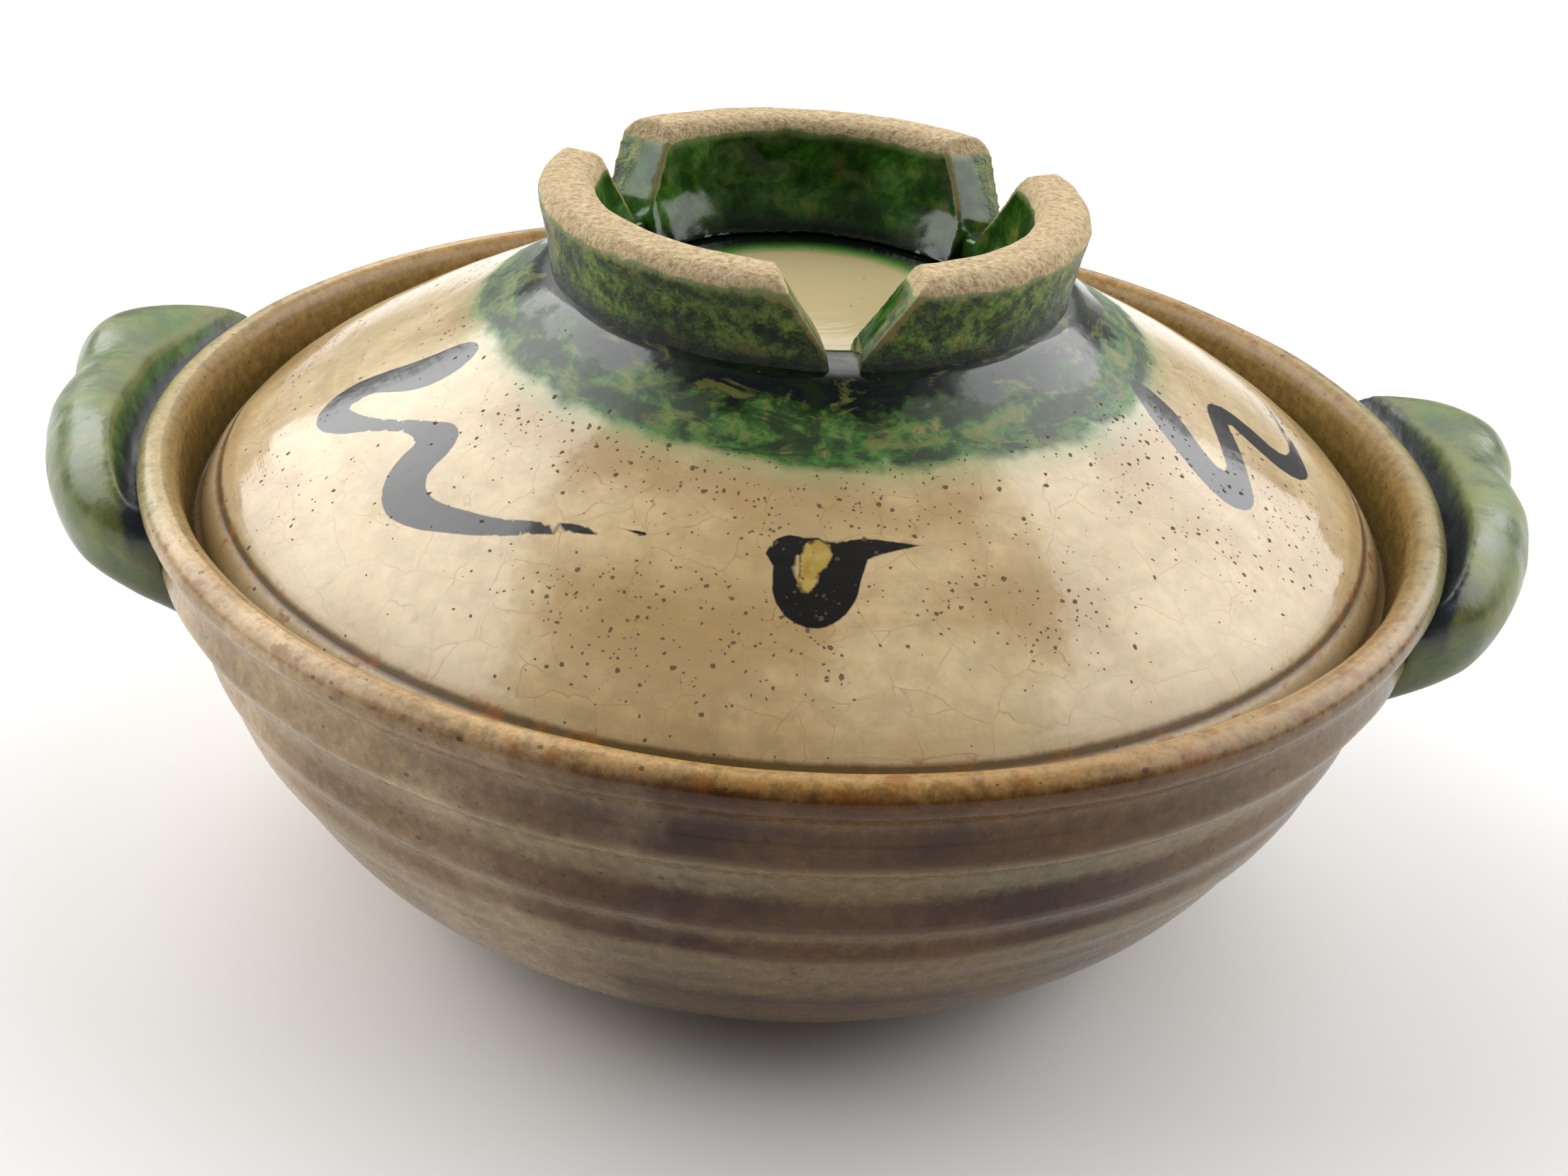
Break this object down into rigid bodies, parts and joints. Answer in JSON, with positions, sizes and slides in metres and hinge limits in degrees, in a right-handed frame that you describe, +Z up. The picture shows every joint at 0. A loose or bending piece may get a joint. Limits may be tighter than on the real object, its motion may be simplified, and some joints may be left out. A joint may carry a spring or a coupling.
{
  "type": "donabe clay pot",
  "caption": "Lidded Japanese clay cooking pot (donabe): thrown bowl with pinched lug handles, domed tan lid with brush marks, and a notched ring knob in green glaze.",
  "frame": {"origin": "middle of the foot, on the surface that the pot stands on", "axes": "+X towards the right handle as pictured, +Y away from the camera side, +Z up through the knob"},
  "size_m": [0.2305, 0.1944, 0.1068],
  "materials": {
    "bowl_glaze": "gloss",
    "lid_glaze": "gloss",
    "green_glaze": "gloss"
  },
  "bodies": {
    "pot": {"pot_bowl": "bowl_glaze", "handle_left": "green_glaze", "handle_right": "green_glaze"},
    "lid": {"lid_dome": "lid_glaze", "knob_lobe_front_left": "green_glaze", "knob_lobe_front_right": "green_glaze", "knob_lobe_back": "green_glaze"}
  },
  "joints": [
    {"name": "lid_lift", "type": "slide", "parent": "pot", "child": "lid", "axis": [0, 0, 1], "range_m": [0, 0.06]}
  ]
}
